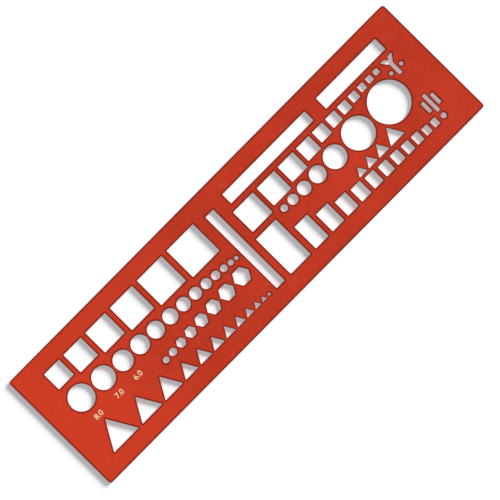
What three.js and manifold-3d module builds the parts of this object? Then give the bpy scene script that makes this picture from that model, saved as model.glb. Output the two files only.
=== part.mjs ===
// A drawing template for map symbols: one thin sheet of plastic, pierced by rows of openings whose
// rims guide a pen. Millimetres. +X runs along the sheet, +Y across it and +Z up out of its upper
// face. The origin is the middle of the lower face.
//
// The sheet has two blocks of rows with an upright slot between them. The layout is worked out from
// the openings' places: each row takes the length that its places and lands need, and the sheet is as
// long and as wide as its rows and margins need.

import * as THREE from 'three';
import { mergeVertices } from 'three/addons/utils/BufferGeometryUtils.js';
import Module from 'manifold-3d';

const wasm = await Module();
wasm.setup();

// The sheet
const SHEET_THICKNESS = 1.2;
const SHEET_CORNER_RADIUS = 0.9;
const SIDE_MARGIN = 5.6; // from the places to the long edges
const START_MARGIN = 7.2; // from the lower left triangle's place to the left end
const END_MARGIN = 7.85; // from the fork's place to the right end

// How far a round rim's flats may stand inside the true circle, the steps of a quarter of a sheet
// corner, and how far a cutter reaches past each face
const ROUND_TOLERANCE = 0.012;
const CORNER_STEPS = 3;
const CUT_PAST = 1;

// Each opening is cut this far inside its place on every side: a place 8.5 wide holds an opening 8.25
// wide, which draws an 8 mm figure with a pen line 0.25 wide. Sizes below are those of the places.
const RIM_INSET = 0.125;

// Each row has its places' widths from left to right. The land between two places is `land` plus
// `share` of their mean width, so large openings stand further apart.
const LEFT_TRIANGLES = {
  widths: [10.5, 8.5, 7.5, 5.5, 5, 4.5, 4, 3.5, 3, 2.5, 2, 1.5],
  land: 0.1,
  share: 0.135,
};
const LEFT_HEXAGONS = {
  widths: [2.5, 3, 3.5, 4, 4.5, 5, 5.5, 6],
  land: 0.05,
  share: 0.1,
};
const LEFT_CIRCLES = {
  widths: [8.5, 7.5, 6.5, 6, 5.5, 5, 4.5, 4, 3.5, 3, 2.5, 2, 1.5],
  land: 0.25,
  share: 0.06,
};
const LEFT_SQUARES = {
  widths: [6.5, 7.5, 8.5, 9.5, 10.5, 11.3],
  land: 1.0,
  share: 0.085,
};
const RIGHT_RECTANGLES = {
  widths: [8.5, 5.5, 5, 4.5, 4.1, 3.8, 3.6, 3.3, 3, 2.8, 2.5, 2.3],
  heights: [14.7, 9.2, 7.3, 5.9, 5.2, 4.7, 4.2, 4, 3.7, 3.5, 2.9, 2.7],
  land: 0.3,
  share: 0.245,
};
const RIGHT_TRIANGLES = {
  widths: [3.5, 4, 4.5, 6],
  land: 0.36,
  share: 0,
};
const RIGHT_CIRCLES = {
  widths: [2.5, 3.5, 4.5, 5.5, 7.5, 10.5, 13.4],
  land: 0.55,
  share: 0.03,
};
const RIGHT_SQUARES = {
  widths: [8.5, 7.5, 6.5, 5.5, 4.5, 4, 3.5, 3, 2.5, 2.25, 2],
  land: 0.6,
  share: 0.1,
};

// Where the left rows start, counted from the row below or from the margin
const HEXAGONS_BEFORE_TRIANGLE = 0.98;
const HEXAGONS_OVER_TRIANGLE = 3; // counted from 0
const CIRCLES_INDENT = 0.6;
const SQUARES_INDENT = 1.75;

// Lands between the left block's rows of places
const TRIANGLES_TO_HEXAGONS = 2.6;
const HEXAGONS_TO_CIRCLES = 1.55;
const CIRCLES_TO_SQUARES = 2.0;

// The upright slot between the blocks, and how far right of it the right rows start
const UPRIGHT_SLOT = { width: 3.5, length: 29.9, landBefore: 1.2 };
const SLOT_TO_RECTANGLES = 2.4;
const SLOT_TO_SQUARES = 3.3;
const SLOT_TO_LONG_SLOT = 4.8;

// The two level slots along the top of the right block
const LONG_SLOT = { length: 34.7, width: 4.0 };
const SHORT_SLOT = { length: 25.0, width: 4.6, landBefore: 4.8 };

// Lands between the right block's rows of places
const RECTANGLE_TO_SQUARE = 1.9;
const SQUARES_TO_LONG_SLOT = 1.95;
const LARGEST_CIRCLE_TO_SQUARE = 1.05;
const CIRCLE_TO_TRIANGLE = 0.55;
const RECTANGLE_TO_CIRCLES = 2.8;
const TRIANGLES_SHIFT = 0.3; // right of the circle that they stand under

// The column of small symbols at the right end
const COLUMN_AFTER_CIRCLES = 1.8; // from the largest circle to the column's axis
const FORK = { height: 6.65, stroke: 1.5, lean: 37 }; // lean of the arms in degrees
const FORK_SPREAD = 5.3;
const DOT = { diameter: 1.5, offset: 2.07, aboveForkFoot: 2.15 };
const BAR = { width: 1.4, pitch: 1.92, middleLength: 6.9, sideLength: 4.1, landBelow: 0.8 };
const FOOT_CIRCLE_DIAMETER = 2.0;

// Outlines. Each gives the corners of one place, anticlockwise, from the left and lower edge of its box.

function rectangle(left, bottom, width, height) {
  return [
    new THREE.Vector2(left, bottom),
    new THREE.Vector2(left + width, bottom),
    new THREE.Vector2(left + width, bottom + height),
    new THREE.Vector2(left, bottom + height),
  ];
}

function regularPolygon(centreX, centreY, radius, sides, firstAngle) {
  const corners = [];
  for (let i = 0; i < sides; i++) {
    const angle = firstAngle + (i * 2 * Math.PI) / sides;
    corners.push(
      new THREE.Vector2(centreX + radius * Math.cos(angle), centreY + radius * Math.sin(angle)),
    );
  }
  return corners;
}

function circle(left, bottom, diameter) {
  const radius = diameter / 2;
  const sides = Math.ceil(Math.PI / Math.acos(1 - ROUND_TOLERANCE / radius));
  return regularPolygon(left + radius, bottom + radius, radius, sides, 0);
}

// A hexagon lies on one of its flats, and its width is measured over its corners
function hexagonHeight(width) {
  return (width * Math.sqrt(3)) / 2;
}

function hexagon(left, bottom, width) {
  const radius = width / 2;
  return regularPolygon(left + radius, bottom + hexagonHeight(width) / 2, radius, 6, 0);
}

// A triangle has equal sides and stands on one of them
function triangleHeight(width) {
  return (width * Math.sqrt(3)) / 2;
}

// The inset takes more off its sharp corners, so its place is widened to give an opening as much
// narrower than its named width as the others are
function triangle(left, bottom, width) {
  const widening = (Math.sqrt(3) - 1) * RIM_INSET;
  return [
    new THREE.Vector2(left - widening, bottom),
    new THREE.Vector2(left + width + widening, bottom),
    new THREE.Vector2(left + width / 2, bottom + triangleHeight(width + 2 * widening)),
  ];
}

// The forked opening: an upright stem whose two arms lean outwards and end level with each other
function fork(axisX, bottom) {
  const top = bottom + FORK.height;
  const lean = THREE.MathUtils.degToRad(FORK.lean);
  const halfSpread = FORK_SPREAD / 2;
  const halfStem = FORK.stroke / 2;
  const armTopWidth = FORK.stroke / Math.cos(lean);
  const shoulder = top - (halfSpread - halfStem) / Math.tan(lean);
  const notch = top - (halfSpread - armTopWidth) / Math.tan(lean);
  return [
    new THREE.Vector2(axisX - halfStem, bottom),
    new THREE.Vector2(axisX + halfStem, bottom),
    new THREE.Vector2(axisX + halfStem, shoulder),
    new THREE.Vector2(axisX + halfSpread, top),
    new THREE.Vector2(axisX + halfSpread - armTopWidth, top),
    new THREE.Vector2(axisX, notch),
    new THREE.Vector2(axisX - halfSpread + armTopWidth, top),
    new THREE.Vector2(axisX - halfSpread, top),
    new THREE.Vector2(axisX - halfStem, shoulder),
  ];
}

// Moves every side of an anticlockwise outline inwards
function inset(corners, distance) {
  return corners.map((corner, i) => {
    const before = corners.at(i - 1);
    const after = corners[(i + 1) % corners.length];
    const arriving = corner.clone().sub(before).normalize();
    const leaving = after.clone().sub(corner).normalize();
    const turn = arriving.cross(leaving);
    return leaving.sub(arriving).multiplyScalar(distance / turn).add(corner);
  });
}

// Spaces a row's places out from its left end, and gives each one's left edge and the row's right end
function spaceOut({ widths, land, share }, start) {
  const lefts = [];
  let next = start;
  widths.forEach((width, i) => {
    lefts.push(next);
    const following = widths[i + 1] ?? width;
    next += width + land + (share * (width + following)) / 2;
  });
  const last = widths.length - 1;
  return { lefts, end: lefts[last] + widths[last] };
}

// The left block: triangles, hexagons and circles stand on their lines, and squares hang from theirs
const baseLine = SIDE_MARGIN;
const leftTriangles = spaceOut(LEFT_TRIANGLES, START_MARGIN);
const hexagonsStart = leftTriangles.lefts[HEXAGONS_OVER_TRIANGLE] - HEXAGONS_BEFORE_TRIANGLE;
const leftHexagons = spaceOut(LEFT_HEXAGONS, hexagonsStart);
const leftCircles = spaceOut(LEFT_CIRCLES, START_MARGIN + CIRCLES_INDENT);
const leftSquares = spaceOut(LEFT_SQUARES, START_MARGIN + SQUARES_INDENT);

const hexagonLine =
  baseLine + triangleHeight(LEFT_TRIANGLES.widths[HEXAGONS_OVER_TRIANGLE]) + TRIANGLES_TO_HEXAGONS;
const circleLine = hexagonLine + hexagonHeight(Math.max(...LEFT_HEXAGONS.widths)) + HEXAGONS_TO_CIRCLES;
const leftBlockTop =
  circleLine + LEFT_CIRCLES.widths[0] + CIRCLES_TO_SQUARES + LEFT_SQUARES.widths[0];

// The upright slot follows the longest of the left rows
const leftBlockEnd = Math.max(leftTriangles.end, leftHexagons.end, leftCircles.end, leftSquares.end);
const uprightSlotLeft = leftBlockEnd + UPRIGHT_SLOT.landBefore;
const uprightSlotRight = uprightSlotLeft + UPRIGHT_SLOT.width;

// The right block, along the sheet
const rightRectangles = spaceOut(RIGHT_RECTANGLES, uprightSlotRight + SLOT_TO_RECTANGLES);
const rightSquares = spaceOut(RIGHT_SQUARES, uprightSlotRight + SLOT_TO_SQUARES);
const tallRectangleRight = rightRectangles.lefts[0] + RIGHT_RECTANGLES.widths[0];
const rightCircles = spaceOut(RIGHT_CIRCLES, tallRectangleRight + RECTANGLE_TO_CIRCLES);
const longSlotLeft = uprightSlotRight + SLOT_TO_LONG_SLOT;
const shortSlotLeft = longSlotLeft + LONG_SLOT.length + SHORT_SLOT.landBefore;

// The right triangles stand centred under the last circle but one
const coverCircle = RIGHT_CIRCLES.widths.length - 2;
const coverCircleAxis = rightCircles.lefts[coverCircle] + RIGHT_CIRCLES.widths[coverCircle] / 2;
const rightTrianglesLength = spaceOut(RIGHT_TRIANGLES, 0).end;
const rightTriangles = spaceOut(
  RIGHT_TRIANGLES,
  coverCircleAxis - rightTrianglesLength / 2 + TRIANGLES_SHIFT,
);

// The right block, across the sheet: its rows hang from the line along the top of both blocks
const rightBlockTop =
  baseLine +
  RIGHT_RECTANGLES.heights[0] +
  RECTANGLE_TO_SQUARE +
  RIGHT_SQUARES.widths[0] +
  SQUARES_TO_LONG_SLOT +
  LONG_SLOT.width;
const topLine = Math.max(leftBlockTop, rightBlockTop);
const longSlotBottom = topLine - LONG_SLOT.width;
const shortSlotBottom = longSlotBottom + (LONG_SLOT.width - SHORT_SLOT.width) / 2;
const rightSquareLine = longSlotBottom - SQUARES_TO_LONG_SLOT;

// The largest circle reaches up to the square over its crown, the last but one of its row
const largestCircle = Math.max(...RIGHT_CIRCLES.widths);
const crownSquare = RIGHT_SQUARES.widths[RIGHT_SQUARES.widths.length - 2];
const rightCircleAxis = rightSquareLine - crownSquare - LARGEST_CIRCLE_TO_SQUARE - largestCircle / 2;

// The triangle under the covering circle, the last but one of its row, sets the triangles' line
const coveredTriangle = RIGHT_TRIANGLES.widths[RIGHT_TRIANGLES.widths.length - 2];
const rightTriangleLine =
  rightCircleAxis -
  RIGHT_CIRCLES.widths[coverCircle] / 2 -
  CIRCLE_TO_TRIANGLE -
  triangleHeight(coveredTriangle);

// The symbol column
const columnAxis = rightCircles.end + COLUMN_AFTER_CIRCLES;
const forkBottom = rightSquareLine - FORK.height;
const dotBottom = forkBottom + DOT.aboveForkFoot - DOT.diameter / 2;
const barAxis = baseLine + FOOT_CIRCLE_DIAMETER + BAR.landBelow + BAR.middleLength / 2;

// The sheet's size
const sheetLength = columnAxis + FORK_SPREAD / 2 + END_MARGIN;
const sheetWidth = topLine + SIDE_MARGIN;

function rowOf(row, place, outline) {
  return row.widths.map((width, i) => outline(place.lefts[i], width, i));
}

function columnBar(step, length) {
  const left = columnAxis + step * BAR.pitch - BAR.width / 2;
  return rectangle(left, barAxis - length / 2, BAR.width, length);
}

function dot(side) {
  const left = columnAxis + side * DOT.offset - DOT.diameter / 2;
  return circle(left, dotBottom, DOT.diameter);
}

const places = [
  ...rowOf(LEFT_TRIANGLES, leftTriangles, (x, width) => triangle(x, baseLine, width)),
  ...rowOf(LEFT_HEXAGONS, leftHexagons, (x, width) => hexagon(x, hexagonLine, width)),
  ...rowOf(LEFT_CIRCLES, leftCircles, (x, width) => circle(x, circleLine, width)),
  ...rowOf(LEFT_SQUARES, leftSquares, (x, width) => rectangle(x, topLine - width, width, width)),
  rectangle(uprightSlotLeft, baseLine, UPRIGHT_SLOT.width, UPRIGHT_SLOT.length),
  rectangle(longSlotLeft, longSlotBottom, LONG_SLOT.length, LONG_SLOT.width),
  rectangle(shortSlotLeft, shortSlotBottom, SHORT_SLOT.length, SHORT_SLOT.width),
  ...rowOf(RIGHT_RECTANGLES, rightRectangles, (x, width, i) =>
    rectangle(x, baseLine, width, RIGHT_RECTANGLES.heights[i]),
  ),
  ...rowOf(RIGHT_TRIANGLES, rightTriangles, (x, width) => triangle(x, rightTriangleLine, width)),
  ...rowOf(RIGHT_CIRCLES, rightCircles, (x, width) => circle(x, rightCircleAxis - width / 2, width)),
  ...rowOf(RIGHT_SQUARES, rightSquares, (x, width) =>
    rectangle(x, rightSquareLine - width, width, width),
  ),
  fork(columnAxis, forkBottom),
  dot(-1),
  dot(1),
  columnBar(-1, BAR.sideLength),
  columnBar(0, BAR.middleLength),
  columnBar(1, BAR.sideLength),
  circle(columnAxis - FOOT_CIRCLE_DIAMETER / 2, baseLine, FOOT_CIRCLE_DIAMETER),
];

// The sheet's outline, a rectangle with rounded corners
function roundedRectangle(length, width, radius) {
  const shape = new THREE.Shape();
  shape.absarc(length - radius, radius, radius, -Math.PI / 2, 0);
  shape.absarc(length - radius, width - radius, radius, 0, Math.PI / 2);
  shape.absarc(radius, width - radius, radius, Math.PI / 2, Math.PI);
  shape.absarc(radius, radius, radius, Math.PI, (3 * Math.PI) / 2);
  shape.closePath();
  return shape;
}

function extruded(shape, bottom, top) {
  const geometry = new THREE.ExtrudeGeometry(shape, {
    depth: top - bottom,
    bevelEnabled: false,
    curveSegments: CORNER_STEPS,
  });
  geometry.translate(-sheetLength / 2, -sheetWidth / 2, bottom);
  return geometry;
}

function toSolid(geometry) {
  geometry.deleteAttribute('normal');
  geometry.deleteAttribute('uv');
  const merged = mergeVertices(geometry);
  return new wasm.Manifold(
    new wasm.Mesh({
      numProp: 3,
      vertProperties: merged.attributes.position.array,
      triVerts: merged.index.array,
    }),
  );
}

function toGeometry(solid) {
  const { vertProperties, triVerts } = solid.getMesh();
  const geometry = new THREE.BufferGeometry();
  geometry.setAttribute('position', new THREE.BufferAttribute(vertProperties, 3));
  geometry.setIndex(new THREE.BufferAttribute(triVerts, 1));
  geometry.computeVertexNormals();
  return geometry;
}

// Cuts one opening, from below the sheet to above it
function cutterOf(place) {
  const opening = new THREE.Shape(inset(place, RIM_INSET));
  return toSolid(extruded(opening, -CUT_PAST, SHEET_THICKNESS + CUT_PAST));
}

// The sheet is a blank with every opening cut right through it
function templateSheet() {
  const outline = roundedRectangle(sheetLength, sheetWidth, SHEET_CORNER_RADIUS);
  const blank = toSolid(extruded(outline, 0, SHEET_THICKNESS));
  const cutters = places.map(cutterOf);
  const sheet = cutters.reduce((rest, cutter) => rest.subtract(cutter), blank);

  const plastic = new THREE.MeshStandardMaterial({
    color: 0xc43c27,
    roughness: 0.42,
    metalness: 0,
  });
  const mesh = new THREE.Mesh(toGeometry(sheet), plastic);
  mesh.name = 'template_sheet';
  return mesh;
}

const template = new THREE.Group();
template.add(templateSheet());

export default template;
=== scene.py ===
"""The looks of a drawing template: a thin sheet of satin orange-red plastic with eased rims round
its openings, and the small size figures printed on it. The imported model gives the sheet's size
and the place of every opening. Lengths are in millimetres until a piece is finished."""

import math

import bmesh
import bpy
from mathutils import Matrix, Vector
from mathutils.kdtree import KDTree


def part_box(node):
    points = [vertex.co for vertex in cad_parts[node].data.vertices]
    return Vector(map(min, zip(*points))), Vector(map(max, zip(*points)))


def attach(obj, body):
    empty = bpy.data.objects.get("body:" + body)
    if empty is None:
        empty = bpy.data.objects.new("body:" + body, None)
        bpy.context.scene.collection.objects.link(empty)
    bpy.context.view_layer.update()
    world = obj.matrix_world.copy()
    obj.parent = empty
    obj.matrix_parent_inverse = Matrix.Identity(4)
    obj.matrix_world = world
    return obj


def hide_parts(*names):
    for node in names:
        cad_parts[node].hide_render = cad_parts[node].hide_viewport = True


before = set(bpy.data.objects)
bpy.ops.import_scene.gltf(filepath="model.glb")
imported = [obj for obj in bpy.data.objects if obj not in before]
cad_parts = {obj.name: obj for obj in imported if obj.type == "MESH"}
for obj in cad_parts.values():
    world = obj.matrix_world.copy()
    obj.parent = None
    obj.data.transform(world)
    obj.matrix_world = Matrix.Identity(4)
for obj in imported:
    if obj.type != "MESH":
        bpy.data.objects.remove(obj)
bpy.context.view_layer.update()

MM = 0.001
SHEET = "template_sheet"

# Every rim is eased by a quarter-round on both faces, and the openings' corners are a bit round
RIM_EASE = 0.12
RIM_STEPS = 3
OPENING_CORNER = 0.18
OPENING_CORNER_STEPS = 4
SHEET_CORNER_STEPS = 12
ROUND_TOLERANCE = 0.0015  # how far a round rim's flats stand inside the true circle
ARC = 0.5  # the profile that makes a bevel a true arc

# A vertex that is less than this share of the easing from either end of it lies at that end
EASE_SLACK = 0.01

# On both faces a band along every rim is darker, and narrows where the land is thin
BAND = 0.6
BAND_SHARE = 0.42  # of the land, so that two bands never meet
BAND_TAPER = 0.4  # how fast a band may widen along its rim
BAND_PASSES = 12
LAND_STEP = 0.25
LAND_AHEAD = 0.01  # of its distance: a place less far ahead lies along the same rim

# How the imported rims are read
WELD = 0.000001  # metres
STRAIGHT = math.radians(1)  # a smaller turn is no corner
MOST_CORNERS = 10  # a rim with more is round

# The least height of the normal of a face that looks up, and of one that is level
LOOKS_UP = 0.5
LEVEL = 0.999

# The figures under the first circles give the sizes that they draw
FIGURE_COUNT = 3
FIGURE_HEIGHT = 1.7
FIGURE_DROP = 2.12  # from a circle's foot to the upper edge of its figure
PEN_LINE = 0.25  # a circle is this much wider than the size it draws
INK_PROUD = 0.015
INK_SUNK = 0.01

# The plastic's colours: the ends of its clouds, the painted light at its left end, its scratches
# and its bands
PLASTIC_DEEP = (0.432, 0.0312, 0.0112, 1)
PLASTIC_BRIGHT = (0.532, 0.0402, 0.0160, 1)
PLASTIC_PAINTED_LIGHT = (0.730, 0.0500, 0.0165, 1)
PLASTIC_SCRATCHED = (0.62, 0.10, 0.06, 1)
PLASTIC_DARKENED = (0.13, 0.011, 0.003, 1)

# How much the clouds and flecks count in the tone, and how much of the last three colours shows
CLOUD_WEIGHT = 0.6
FLECK_WEIGHT = 0.4
PAINTED_LIGHT_SHARE = 0.5
SCRATCHED_SHARE = 0.25
DARKENED_SHARE = 0.8

# Light is painted onto the sheet towards its left end, between two places that are in metres
# along it
PAINTED_LIGHT_START = -0.010
PAINTED_LIGHT_END = -0.095

# Scratches follow the middle value of one noise and keep to the bright patches of another
NOISE_MIDDLE = 0.5
HAIRLINE = 0.012  # how far from the middle value a scratch ends
PATCH_SCALE = 0.6
PATCH_EDGE = 0.1  # the rise in value over which a patch sets in

# How rough the plastic is, and what its clouds, scratches and cut walls add
ROUGHNESS = 0.32
CLOUD_ROUGHNESS = 0.08
SCRATCH_ROUGHNESS = 0.15
WALL_ROUGHNESS = 0.1

# The relief on the plastic
GRAIN_HEIGHT = 0.0035
SCRATCH_DEPTH = 0.006
WALL_GRAIN = 2  # times as strong as on the faces
WALL_LINE_HEIGHT = 0.02  # of the length of a cutter's line on a wall

# The ink, whose flecks make it thinner, rougher and uneven
INK_CREAM = (0.90, 0.76, 0.50, 1)
INK_THIN = (0.72, 0.36, 0.20, 1)
THIN_SHARE = 0.5
INK_ROUGHNESS = 0.5
FLECK_ROUGHNESS = 0.1
INK_RELIEF = 0.003

# The camera looks straight down, turned so that the sheet lies along the picture's diagonal
VIEW_CENTRE = (-0.50, -1.90)
VIEW_TURN = math.radians(-45.31)
VIEW_FIELD = 147.24
CAMERA_HEIGHT = 1500.0
CAMERA_REACH = 10.0  # metres
SENSOR = 36.0

# The floor lies a hair under the sheet, so that no two faces share a plane
FLOOR_SIDE = 6000.0
FLOOR_GAP = 0.02
FLOOR_WHITE = (0.66, 0.66, 0.66, 1)
FLOOR_GLOW = (0.945, 1.0, 1.045, 1)
FLOOR_GLOW_STRENGTH = 0.355

# A broad soft key shines from beyond the sheet's right end, without a reflection, which would
# drown the colour at a low angle. A dim softbox on the same side gives the plastic its sheen.
KEY_ELEVATION = math.radians(28)
KEY_SPREAD = math.radians(26)
KEY_STRENGTH = 5.88
SOFTBOX_DISTANCE = 1.0  # metres
SOFTBOX_SIDE = 0.6  # metres
SOFTBOX_POWER = 1.1
SKY_WHITE = (1, 1, 1, 1)
SKY_STRENGTH = 0.15


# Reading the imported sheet


def walk_rim(edge, waiting):
    """Returns the points of the rim that an edge lies on, in order, and takes the rim's edges out
    of those that wait."""
    points = []
    vertex = edge.verts[0]
    while edge:
        waiting.remove(edge)
        points.append(vertex.co.copy())
        vertex = edge.other_vert(vertex)
        edge = next((other for other in vertex.link_edges if other in waiting), None)
    return points


def corners_of(points):
    """Leaves out the points where a rim runs straight on."""
    turns = zip(points[-1:] + points[:-1], points, points[1:] + points[:1])
    return [
        point
        for before, point, after in turns
        if (point - before).angle(after - point) > STRAIGHT
    ]


def packed_rims(node):
    """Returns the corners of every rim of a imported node's upper face, in millimetres and at
    height 0."""
    mesh = bmesh.new()
    mesh.from_mesh(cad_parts[node].data)
    bmesh.ops.remove_doubles(mesh, verts=mesh.verts, dist=WELD)
    mesh.normal_update()
    rest = [face for face in mesh.faces if face.normal.z < LOOKS_UP]
    bmesh.ops.delete(mesh, geom=rest, context="FACES")
    flatten = Matrix.Diagonal((1 / MM, 1 / MM, 0, 1))
    bmesh.ops.transform(mesh, matrix=flatten, verts=mesh.verts)
    waiting = {edge for edge in mesh.edges if edge.is_boundary}
    rims = [corners_of(walk_rim(edge, waiting)) for edge in mesh.edges if edge in waiting]
    mesh.free()
    return rims


def centre_of(rim):
    return sum(rim, Vector()) / len(rim)


def length_of(rim):
    return max(point.x for point in rim) - min(point.x for point in rim)


# Making the pieces


def add_round_rim(mesh, rim):
    """Adds a finer circle through a round rim's corners."""
    centre = centre_of(rim)
    radius = (rim[0] - centre).length
    flats = math.ceil(math.pi / math.acos(1 - ROUND_TOLERANCE / radius))
    place = Matrix.Translation(centre)
    bmesh.ops.create_circle(mesh, segments=flats, radius=radius, matrix=place)


def add_cornered_rim(mesh, corners, corner_round, steps):
    """Adds a rim of straight sides whose corners are rounded off over a length of each side."""
    face = mesh.faces.new([mesh.verts.new(corner) for corner in corners])
    bmesh.ops.bevel(
        mesh,
        geom=face.verts[:],
        affect="VERTICES",
        offset=corner_round,
        segments=steps,
        profile=ARC,
        material=-1,
    )


def pierced_face(outline, openings):
    """Returns a flat face that is bounded by the sheet's outline and pierced by its openings."""
    right = max(point.x for point in outline)
    top = max(point.y for point in outline)
    along_top = [point.x for point in outline if math.isclose(point.y, top, abs_tol=WELD / MM)]
    box = [Vector((x * right, y * top, 0)) for x, y in ((-1, -1), (1, -1), (1, 1), (-1, 1))]

    mesh = bmesh.new()
    add_cornered_rim(mesh, box, right - max(along_top), SHEET_CORNER_STEPS)
    for rim in openings:
        if len(rim) > MOST_CORNERS:
            add_round_rim(mesh, rim)
        else:
            add_cornered_rim(mesh, rim, OPENING_CORNER, OPENING_CORNER_STEPS)
    bmesh.ops.delete(mesh, geom=mesh.faces[:], context="FACES_ONLY")
    bmesh.ops.triangle_fill(mesh, use_beauty=True, edges=mesh.edges[:], normal=(0, 0, 1))
    return mesh


def new_vertices(grown):
    """Returns the vertices among what an extrusion has added."""
    return [part for part in grown["geom"] if isinstance(part, bmesh.types.BMVert)]


def thicken(mesh, bottom, top):
    """Turns a flat face at height 0 into a solid between two heights."""
    bmesh.ops.translate(mesh, vec=(0, 0, bottom), verts=mesh.verts)
    lifted = new_vertices(bmesh.ops.extrude_face_region(mesh, geom=mesh.faces[:]))
    bmesh.ops.translate(mesh, vec=(0, 0, top - bottom), verts=lifted)
    bmesh.ops.recalc_face_normals(mesh, faces=mesh.faces)


def ease_rims(mesh, radius):
    """Raises the solid's two faces by a quarter-round along every rim."""
    angles = [math.pi / 2 * step / RIM_STEPS for step in range(RIM_STEPS + 1)]
    for side in (1, -1):
        cap = [face for face in mesh.faces if face.normal.z * side > LOOKS_UP]
        for low, high in zip(angles, angles[1:]):
            bmesh.ops.inset_region(
                mesh,
                faces=cap,
                thickness=radius * (math.cos(low) - math.cos(high)),
                depth=radius * (math.sin(high) - math.sin(low)),
                use_boundary=True,
                use_even_offset=True,
            )


def land_side(edge):
    """Returns the level direction from a rim's edge onto the land beside it."""
    start, end = (vertex.co for vertex in edge.verts)
    across = (end - start).cross(Vector((0, 0, 1))).normalized()
    rounding = edge.link_faces[0].calc_center_median() - start
    return -across if across.dot(rounding) > 0 else across


def band_widths(edges):
    """Returns how wide the band beside each rim's edge may be."""
    samples = []
    for edge in edges:
        start, end = (vertex.co for vertex in edge.verts)
        count = math.ceil((end - start).length / LAND_STEP)
        samples += [(edge, start.lerp(end, (step + 0.5) / count)) for step in range(count)]
    tree = KDTree(len(samples))
    for number, (_, place) in enumerate(samples):
        tree.insert(place, number)
    tree.balance()

    widths = {edge: BAND for edge in edges}
    for edge, place in samples:
        side = land_side(edge)
        for other, _, distance in tree.find_range(place, BAND / BAND_SHARE):
            ahead = side.dot(other - place)
            if ahead > distance * LAND_AHEAD:
                # The widest disc on the land that touches both rims
                disc = distance * distance / ahead
                widths[edge] = min(widths[edge], disc * BAND_SHARE)
    return widths


def band_rims(mesh, side):
    """Lays a flat band on one face along every rim, and fills the face anew between the bands.
    Returns the vertices where the bands end."""
    cap = [face for face in mesh.faces if face.normal.z * side > LEVEL]
    bmesh.ops.delete(mesh, geom=cap, context="FACES")
    edges = [edge for edge in mesh.edges if edge.is_boundary]
    widths = band_widths(edges)
    sides = {}
    reach = {}
    for vertex in {vertex for edge in edges for vertex in edge.verts}:
        beside = [edge for edge in vertex.link_edges if edge in widths]
        sides[vertex] = sum((land_side(edge) for edge in beside), Vector()).normalized()
        reach[vertex] = min(widths[edge] for edge in beside)
    for _ in range(BAND_PASSES):
        for edge in edges:
            start, end = edge.verts
            for near, far in ((start, end), (end, start)):
                reach[far] = min(reach[far], reach[near] + BAND_TAPER * edge.calc_length())

    inner = new_vertices(bmesh.ops.extrude_edge_only(mesh, edges=edges))
    for vertex in inner:
        neighbours = [edge.other_vert(vertex) for edge in vertex.link_edges]
        rim = next(neighbour for neighbour in neighbours if neighbour in sides)
        vertex.co += sides[rim] * reach[rim]
    bounds = [edge for edge in mesh.edges if edge.is_boundary]
    bmesh.ops.triangle_fill(mesh, use_beauty=True, edges=bounds, normal=(0, 0, side))
    return inner


def finish_rims(mesh, thickness):
    """Adds the bands, marks what a cutter has worked and what the darker bands cover, and shades
    the walls and roundings smooth."""
    worked = mesh.verts.layers.float.new("worked")
    darkened = mesh.verts.layers.float.new("darkened")
    for vertex in mesh.verts:
        depth = min(vertex.co.z, thickness - vertex.co.z)
        vertex[worked] = depth > RIM_EASE * EASE_SLACK
        vertex[darkened] = depth < RIM_EASE * (1 - EASE_SLACK)
    for side in (1, -1):
        for vertex in band_rims(mesh, side):
            vertex[worked] = vertex[darkened] = 0
    bmesh.ops.recalc_face_normals(mesh, faces=mesh.faces)
    for face in mesh.faces:
        face.smooth = any(vertex[worked] for vertex in face.verts)


def linked(name, data):
    """Adds an object to the scene."""
    added = bpy.data.objects.new(name, data)
    bpy.context.scene.collection.objects.link(added)
    return added


def finished(name, mesh, material):
    """Hands a mesh over as a piece in metres."""
    bmesh.ops.scale(mesh, vec=(MM, MM, MM), verts=mesh.verts)
    data = bpy.data.meshes.new(name)
    mesh.to_mesh(data)
    mesh.free()
    data.materials.append(material)
    return linked(name, data)


def make_sheet(outline, openings, thickness, material):
    """The sheet itself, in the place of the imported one."""
    mesh = pierced_face(outline, openings)
    thicken(mesh, RIM_EASE, thickness - RIM_EASE)
    ease_rims(mesh, RIM_EASE)
    finish_rims(mesh, thickness)
    sheet = finished("pierced_sheet", mesh, material)
    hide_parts(SHEET)
    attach(sheet, "root")


def figure_outline(text):
    """Returns the flat faces of a printed number, as high as the print and centred on the
    origin."""
    letters = bpy.data.curves.new("letters", "FONT")
    letters.body = text
    holder = linked("letters", letters)
    shown = holder.evaluated_get(bpy.context.evaluated_depsgraph_get())
    flat = bpy.data.meshes.new_from_object(shown)
    bpy.data.objects.remove(holder)
    mesh = bmesh.new()
    mesh.from_mesh(flat)
    bpy.data.meshes.remove(flat)
    bmesh.ops.remove_doubles(mesh, verts=mesh.verts, dist=WELD)
    by_axis = list(zip(*(vertex.co for vertex in mesh.verts)))
    low = Vector([min(values) for values in by_axis])
    high = Vector([max(values) for values in by_axis])
    bmesh.ops.translate(mesh, vec=-(low + high) / 2, verts=mesh.verts)
    size = FIGURE_HEIGHT / (high.y - low.y)
    bmesh.ops.scale(mesh, vec=(size, size, size), verts=mesh.verts)
    return mesh


def make_figure(number, circle, upper_face, material):
    """The size that one circle draws, printed under it as a thin film of ink."""
    centre = centre_of(circle)
    radius = (circle[0] - centre).length
    mesh = figure_outline(f"{2 * radius - PEN_LINE:.1f}")
    line = centre.y - radius - FIGURE_DROP - FIGURE_HEIGHT / 2
    thicken(mesh, upper_face - INK_SUNK, upper_face + INK_PROUD)
    bmesh.ops.translate(mesh, vec=(centre.x, line, 0), verts=mesh.verts)
    figure = finished(f"size_figure_{number}", mesh, material)
    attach(figure, "root")


# Finishes


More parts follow.
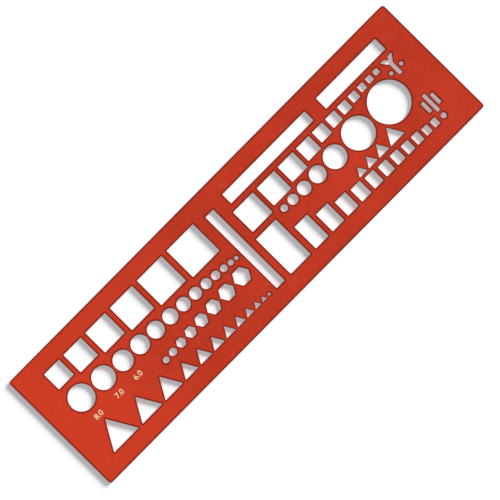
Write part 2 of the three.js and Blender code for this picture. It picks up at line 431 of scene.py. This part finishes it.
class Signal:
    """A shader socket. Sums, differences and products of it add Math nodes to its finish."""

    def __init__(self, finish, socket):
        self.finish = finish
        self.socket = socket

    def __add__(self, other):
        return self.finish.maths("ADD", self, other)

    def __radd__(self, other):
        return self.finish.maths("ADD", other, self)

    def __sub__(self, other):
        return self.finish.maths("SUBTRACT", self, other)

    def __rsub__(self, other):
        return self.finish.maths("SUBTRACT", other, self)

    def __mul__(self, other):
        return self.finish.maths("MULTIPLY", self, other)

    def __abs__(self):
        return self.finish.maths("ABSOLUTE", self)


class Finish:
    """A material that is built up from nodes."""

    def __init__(self, name):
        self.material = bpy.data.materials.new(name)
        self.material.use_nodes = True
        self.tree = self.material.node_tree
        self.tree.nodes.clear()

    def node(self, kind, settings, sockets, output=0):
        """Adds a node with its settings first, then the values or links of its sockets."""
        made = self.tree.nodes.new(kind)
        for name, value in settings.items():
            setattr(made, name, value)
        for name, value in sockets.items():
            if isinstance(value, Signal):
                self.tree.links.new(value.socket, made.inputs[name])
            else:
                made.inputs[name].default_value = value
        return Signal(self, made.outputs[output])

    def maths(self, operation, *values):
        return self.node("ShaderNodeMath", {"operation": operation}, dict(enumerate(values)))

    def place(self):
        return self.node("ShaderNodeTexCoord", {}, {}, "Object")

    def attribute(self, name):
        return self.node("ShaderNodeAttribute", {"attribute_name": name}, {}, "Fac")

    def stretched(self, place, **sockets):
        """Turns and stretches a texture by what the sockets say."""
        settings = {"vector_type": "TEXTURE"}
        return self.node("ShaderNodeMapping", settings, {"Vector": place, **sockets})

    def noise(self, place, scale, detail):
        """Cloudy values about 0.5 whose lumps are 1 / scale wide."""
        sockets = {"Vector": place, "Scale": scale, "Detail": detail}
        return self.node("ShaderNodeTexNoise", {}, sockets)

    def ramp(self, value, start, end):
        """Rises smoothly from 0 to 1 as the value goes from start to end."""
        settings = {"interpolation_type": "SMOOTHSTEP"}
        sockets = {"Value": value, "From Min": start, "From Max": end}
        return self.node("ShaderNodeMapRange", settings, sockets)

    def blend(self, amount, first, second):
        """Mixes two colours. The node's sockets for them have no names of their own."""
        sockets = {0: amount, 6: first, 7: second}
        return self.node("ShaderNodeMix", {"data_type": "RGBA"}, sockets, output=2)

    def bump(self, height, distance, **below):
        """Raises the surface by up to a distance, over another bump if its Normal is given."""
        sockets = {"Height": height, "Distance": distance, **below}
        return self.node("ShaderNodeBump", {}, sockets)

    def surfaced(self, sockets):
        """Ends the nodes in a Principled shader, and returns the material."""
        shader = self.node("ShaderNodeBsdfPrincipled", {}, sockets)
        ending = self.tree.nodes.new("ShaderNodeOutputMaterial")
        self.tree.links.new(shader.socket, ending.inputs["Surface"])
        return self.material


def hairlines(finish, place, angle, length, pitch, share):
    """Fine straggling scratches that run at an angle along the sheet, over a share of it: 1 in a
    scratch, 0 elsewhere."""
    scale = (length * MM, pitch * MM, MM)
    turned = finish.stretched(place, Rotation=(0, 0, angle), Scale=scale)
    off_middle = abs(finish.noise(turned, scale=1, detail=1) - NOISE_MIDDLE)
    line = 1 - finish.ramp(off_middle, 0, HAIRLINE)
    patch = finish.noise(turned, scale=PATCH_SCALE, detail=0)
    return line * finish.ramp(patch, 1 - share, 1 - share + PATCH_EDGE)


def sheet_finish():
    """Satin plastic, coloured all through, with handling scratches on the faces and cut walls."""
    finish = Finish("sheet_plastic")
    place = finish.place()
    worked = finish.attribute("worked")
    darkened = finish.attribute("darkened")
    along_sheet = finish.node("ShaderNodeSeparateXYZ", {}, {"Vector": place}, "X")
    clouds = finish.noise(place, scale=40, detail=3)
    flecks = finish.noise(place, scale=1100, detail=2)
    grain = finish.noise(place, scale=4500, detail=2)
    along = hairlines(finish, place, math.radians(4), length=34, pitch=1.6, share=0.52)
    across = hairlines(finish, place, math.radians(-63), length=12, pitch=1.3, share=0.42)
    scratches = (along + across) * (1 - worked)

    mottling = clouds * CLOUD_WEIGHT + flecks * FLECK_WEIGHT
    tone = finish.ramp(mottling, start=0.32, end=0.68)
    fresh = finish.blend(tone, PLASTIC_DEEP, PLASTIC_BRIGHT)
    # Painted light: the plastic is coloured lighter towards its left end, as if more light fell
    # there
    painted_light = finish.ramp(along_sheet, PAINTED_LIGHT_START, PAINTED_LIGHT_END)
    with_painted_light = finish.blend(painted_light * PAINTED_LIGHT_SHARE, fresh, PLASTIC_PAINTED_LIGHT)
    marked = finish.blend(scratches * SCRATCHED_SHARE, with_painted_light, PLASTIC_SCRATCHED)
    dark = finish.ramp(darkened, start=0, end=0.8)
    colour = finish.blend(dark * DARKENED_SHARE, marked, PLASTIC_DARKENED)

    roughness = ROUGHNESS + clouds * CLOUD_ROUGHNESS
    roughness += scratches * SCRATCH_ROUGHNESS + worked * WALL_ROUGHNESS

    cut_lines = finish.stretched(place, Scale=(1, 1, WALL_LINE_HEIGHT))
    wall_grain = finish.noise(cut_lines, scale=4000, detail=1)
    height = grain * (1 - worked) + wall_grain * worked * WALL_GRAIN
    relief = finish.bump(height, GRAIN_HEIGHT * MM)
    return finish.surfaced(
        {
            "Base Color": colour,
            "Roughness": roughness,
            "IOR": 1.49,
            "Specular IOR Level": 0.3,
            "Normal": finish.bump(1 - scratches, SCRATCH_DEPTH * MM, Normal=relief),
        }
    )


def ink_finish():
    """Cream printing ink, a little thin in places."""
    finish = Finish("figure_ink")
    flecks = finish.noise(finish.place(), scale=4000, detail=2)
    thin = finish.ramp(flecks, start=0.58, end=0.75)
    return finish.surfaced(
        {
            "Base Color": finish.blend(thin * THIN_SHARE, INK_CREAM, INK_THIN),
            "Roughness": INK_ROUGHNESS + flecks * FLECK_ROUGHNESS,
            "IOR": 1.5,
            "Specular IOR Level": 0.4,
            "Normal": finish.bump(flecks, INK_RELIEF * MM),
        }
    )


def floor_finish():
    """Matt white that glows a little."""
    return Finish("floor_white").surfaced(
        {
            "Base Color": FLOOR_WHITE,
            "Roughness": 0.9,
            "Specular IOR Level": 0,
            "Emission Color": FLOOR_GLOW,
            "Emission Strength": FLOOR_GLOW_STRENGTH,
        }
    )


# The studio


def make_floor():
    mesh = bmesh.new()
    bmesh.ops.create_grid(mesh, x_segments=1, y_segments=1, size=FLOOR_SIDE / 2)
    bmesh.ops.translate(mesh, vec=(0, 0, -FLOOR_GAP), verts=mesh.verts)
    finished("floor", mesh, floor_finish())


def add_light(name, kind, settings, glossy):
    """Adds a light in the key's direction that shines at the origin and isn't seen itself."""
    light = bpy.data.lights.new(name, kind)
    for setting, value in settings.items():
        setattr(light, setting, value)
    lamp = linked(name, light)
    lamp.rotation_euler = (0, math.pi / 2 - KEY_ELEVATION, 0)
    lamp.location = lamp.rotation_euler.to_matrix() @ Vector((0, 0, SOFTBOX_DISTANCE))
    lamp.visible_camera = False
    lamp.visible_glossy = glossy


def light_studio():
    add_light("key", "SUN", {"energy": KEY_STRENGTH, "angle": KEY_SPREAD}, glossy=False)
    add_light("softbox", "AREA", {"energy": SOFTBOX_POWER, "size": SOFTBOX_SIDE}, glossy=True)
    world = bpy.data.worlds.new("studio")
    world.use_nodes = True
    sky = world.node_tree.nodes["Background"]
    sky.inputs["Color"].default_value = SKY_WHITE
    sky.inputs["Strength"].default_value = SKY_STRENGTH
    bpy.context.scene.world = world
    bpy.context.scene.view_settings.view_transform = "Standard"


def place_camera(upper_face):
    lens = bpy.data.cameras.new("camera")
    lens.sensor_width = SENSOR
    lens.lens = SENSOR * CAMERA_HEIGHT / VIEW_FIELD
    lens.clip_end = CAMERA_REACH
    camera = linked("camera", lens)
    camera.location = Vector((*VIEW_CENTRE, upper_face + CAMERA_HEIGHT)) * MM
    camera.rotation_euler = (0, 0, VIEW_TURN)
    bpy.context.scene.camera = camera


def build():
    upper_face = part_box(SHEET)[1].z / MM
    rims = packed_rims(SHEET)
    outline = max(rims, key=length_of)
    openings = [rim for rim in rims if rim is not outline]
    circles = [rim for rim in openings if len(rim) > MOST_CORNERS]
    circles.sort(key=lambda rim: centre_of(rim).x)

    make_sheet(outline, openings, upper_face, sheet_finish())
    ink = ink_finish()
    for number, circle in enumerate(circles[:FIGURE_COUNT], start=1):
        make_figure(number, circle, upper_face, ink)

    make_floor()
    light_studio()
    place_camera(upper_face)


build()
